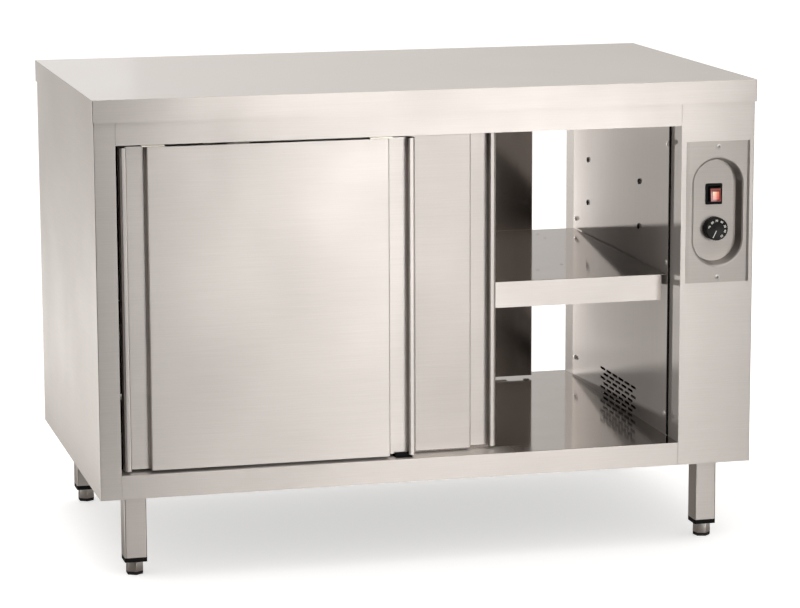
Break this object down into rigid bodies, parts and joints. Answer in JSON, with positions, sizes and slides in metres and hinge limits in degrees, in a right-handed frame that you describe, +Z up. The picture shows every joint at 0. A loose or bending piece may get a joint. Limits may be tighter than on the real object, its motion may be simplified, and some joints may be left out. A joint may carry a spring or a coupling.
{
  "type": "plate warmer cabinet",
  "caption": "Free-standing stainless plate warming cupboard on legs, with sliding doors front and back, an inner shelf and a heating control column.",
  "frame": {"origin": "on the ground, under the middle of the worktop", "axes": "+X along the front towards the control column, +Y from the front to the back, +Z up"},
  "size_m": [1.2, 0.7, 0.85],
  "materials": {
    "worktop_steel": "fine satin grain, stainless",
    "satin_steel": "fine satin grain, stainless",
    "door_steel": "fine satin grain, stainless",
    "bright_steel": "bright rolled stainless, nearly mirror",
    "control_steel": "satin stainless, pressed",
    "galvanised_steel": "zinc-coated sheet",
    "zinc_steel": "zinc-plated",
    "track_aluminium": "mill-finish extrusion",
    "foot_steel": "machined stainless on a black pad",
    "screw_steel": "bright stainless",
    "black_plastic": "moulded black",
    "wheel_nylon": "white nylon",
    "white_plastic": "white, moulded",
    "knob_plastic": "moulded black, printed white figures",
    "red_lens": "clear red rocker with a lamp behind",
    "copper": "drawn copper",
    "heater_sheath": "heat-darkened sheath"
  },
  "bodies": {
    "carcass": {"worktop": "worktop_steel", "worktop_stiffeners": "galvanised_steel", "left_side_panel": "satin_steel", "left_inner_wall": "bright_steel", "right_side_panel": "satin_steel", "control_fascia": "satin_steel", "rear_fascia": "satin_steel", "service_cover": "satin_steel", "front_top_rail": "satin_steel", "rear_top_rail": "satin_steel", "floor_pan": "bright_steel", "base_panel": "galvanised_steel", "ceiling_panel": "bright_steel", "partition_wall": "bright_steel", "legs": "satin_steel", "leg_inserts": "black_plastic", "door_tracks": "track_aluminium", "track_stops": "black_plastic", "floor_guides": "black_plastic", "shelf_studs": "zinc_steel", "control_plate": "control_steel", "switch_housing": "black_plastic", "thermostat_body": "zinc_steel", "thermostat_bulb": "copper", "fan_motor": "zinc_steel", "blower_housing": "galvanised_steel", "heater_element": "heater_sheath", "terminal_block": "white_plastic", "cable_gland": "black_plastic", "pan_head_screws": "screw_steel"},
    "foot_front_left": {"foot_front_left": "foot_steel"},
    "foot_front_right": {"foot_front_right": "foot_steel"},
    "foot_rear_left": {"foot_rear_left": "foot_steel"},
    "foot_rear_right": {"foot_rear_right": "foot_steel"},
    "front_left_door": {"front_left_door_skin": "door_steel", "front_left_door_liner": "door_steel", "front_left_door_hangers": "zinc_steel"},
    "front_left_door_wheel_left": {"front_left_door_wheel_left": "wheel_nylon"},
    "front_left_door_wheel_right": {"front_left_door_wheel_right": "wheel_nylon"},
    "front_right_door": {"front_right_door_skin": "door_steel", "front_right_door_liner": "door_steel", "front_right_door_hangers": "zinc_steel"},
    "front_right_door_wheel_left": {"front_right_door_wheel_left": "wheel_nylon"},
    "front_right_door_wheel_right": {"front_right_door_wheel_right": "wheel_nylon"},
    "rear_left_door": {"rear_left_door_skin": "door_steel", "rear_left_door_liner": "door_steel", "rear_left_door_hangers": "zinc_steel"},
    "rear_left_door_wheel_left": {"rear_left_door_wheel_left": "wheel_nylon"},
    "rear_left_door_wheel_right": {"rear_left_door_wheel_right": "wheel_nylon"},
    "rear_right_door": {"rear_right_door_skin": "door_steel", "rear_right_door_liner": "door_steel", "rear_right_door_hangers": "zinc_steel"},
    "rear_right_door_wheel_left": {"rear_right_door_wheel_left": "wheel_nylon"},
    "rear_right_door_wheel_right": {"rear_right_door_wheel_right": "wheel_nylon"},
    "shelf": {"shelf": "bright_steel"},
    "switch_rocker": {"switch_rocker": "red_lens"},
    "thermostat_knob": {"thermostat_knob": "knob_plastic", "thermostat_spindle": "zinc_steel"},
    "blower_impeller": {"blower_impeller": "galvanised_steel"}
  },
  "joints": [
    {"name": "front_left_door_slide", "type": "slide", "parent": "carcass", "child": "front_left_door", "axis": [1, 0, 0], "range_m": [0, 0.482]},
    {"name": "front_left_door_wheel_left_turn", "type": "hinge", "parent": "front_left_door", "child": "front_left_door_wheel_left", "pos_m": [-0.4925, -0.3325, 0.7893], "axis": [0, 1, 0], "range_deg": [-15, 2526]},
    {"name": "front_left_door_wheel_right_turn", "type": "hinge", "parent": "front_left_door", "child": "front_left_door_wheel_right", "pos_m": [-0.0895, -0.3325, 0.7893], "axis": [0, 1, 0], "range_deg": [-15, 2526]},
    {"name": "front_right_door_slide", "type": "slide", "parent": "carcass", "child": "front_right_door", "axis": [1, 0, 0], "range_m": [-0.1561, 0.3259]},
    {"name": "front_right_door_wheel_left_turn", "type": "hinge", "parent": "front_right_door", "child": "front_right_door_wheel_left", "pos_m": [-0.3364, -0.3015, 0.7893], "axis": [0, 1, 0], "range_deg": [-828, 1713]},
    {"name": "front_right_door_wheel_right_turn", "type": "hinge", "parent": "front_right_door", "child": "front_right_door_wheel_right", "pos_m": [0.0666, -0.3015, 0.7893], "axis": [0, 1, 0], "range_deg": [-828, 1713]},
    {"name": "rear_left_door_slide", "type": "slide", "parent": "carcass", "child": "rear_left_door", "axis": [1, 0, 0], "range_m": [0, 0.482]},
    {"name": "rear_left_door_wheel_left_turn", "type": "hinge", "parent": "rear_left_door", "child": "rear_left_door_wheel_left", "pos_m": [-0.4925, 0.3325, 0.7893], "axis": [0, 1, 0], "range_deg": [-15, 2526]},
    {"name": "rear_left_door_wheel_right_turn", "type": "hinge", "parent": "rear_left_door", "child": "rear_left_door_wheel_right", "pos_m": [-0.0895, 0.3325, 0.7893], "axis": [0, 1, 0], "range_deg": [-15, 2526]},
    {"name": "rear_right_door_slide", "type": "slide", "parent": "carcass", "child": "rear_right_door", "axis": [1, 0, 0], "range_m": [-0.4005, 0.0815]},
    {"name": "rear_right_door_wheel_left_turn", "type": "hinge", "parent": "rear_right_door", "child": "rear_right_door_wheel_left", "pos_m": [-0.092, 0.3015, 0.7893], "axis": [0, 1, 0], "range_deg": [-2101, 440]},
    {"name": "rear_right_door_wheel_right_turn", "type": "hinge", "parent": "rear_right_door", "child": "rear_right_door_wheel_right", "pos_m": [0.311, 0.3015, 0.7893], "axis": [0, 1, 0], "range_deg": [-2101, 440]},
    {"name": "foot_front_left_screw", "type": "slide", "parent": "carcass", "child": "foot_front_left", "axis": [0, 0, -1], "range_m": [0, 0.05]},
    {"name": "foot_front_right_screw", "type": "slide", "parent": "carcass", "child": "foot_front_right", "axis": [0, 0, -1], "range_m": [0, 0.05]},
    {"name": "foot_rear_left_screw", "type": "slide", "parent": "carcass", "child": "foot_rear_left", "axis": [0, 0, -1], "range_m": [0, 0.05]},
    {"name": "foot_rear_right_screw", "type": "slide", "parent": "carcass", "child": "foot_rear_right", "axis": [0, 0, -1], "range_m": [0, 0.05]},
    {"name": "shelf_lift", "type": "slide", "parent": "carcass", "child": "shelf", "axis": [0, 0, 1], "range_m": [0, 0.1]},
    {"name": "switch_rocker_tilt", "type": "hinge", "parent": "carcass", "child": "switch_rocker", "pos_m": [0.53, -0.318, 0.642], "axis": [1, 0, 0], "range_deg": [0, 16]},
    {"name": "thermostat_knob_turn", "type": "hinge", "parent": "carcass", "child": "thermostat_knob", "pos_m": [0.531, -0.32, 0.58], "axis": [0, 1, 0], "range_deg": [0, 285]},
    {"name": "blower_impeller_spin", "type": "hinge", "parent": "carcass", "child": "blower_impeller", "pos_m": [0.53, 0, 0.225], "axis": [0, 1, 0], "continuous": true}
  ],
  "couplings": [
    {"joint": "front_left_door_wheel_left_turn", "follows": "front_left_door_slide", "rad_per_m": 90.909},
    {"joint": "front_left_door_wheel_right_turn", "follows": "front_left_door_slide", "rad_per_m": 90.909},
    {"joint": "front_right_door_wheel_left_turn", "follows": "front_right_door_slide", "rad_per_m": 90.909},
    {"joint": "front_right_door_wheel_right_turn", "follows": "front_right_door_slide", "rad_per_m": 90.909},
    {"joint": "rear_left_door_wheel_left_turn", "follows": "rear_left_door_slide", "rad_per_m": 90.909},
    {"joint": "rear_left_door_wheel_right_turn", "follows": "rear_left_door_slide", "rad_per_m": 90.909},
    {"joint": "rear_right_door_wheel_left_turn", "follows": "rear_right_door_slide", "rad_per_m": 90.909},
    {"joint": "rear_right_door_wheel_right_turn", "follows": "rear_right_door_slide", "rad_per_m": 90.909}
  ]
}
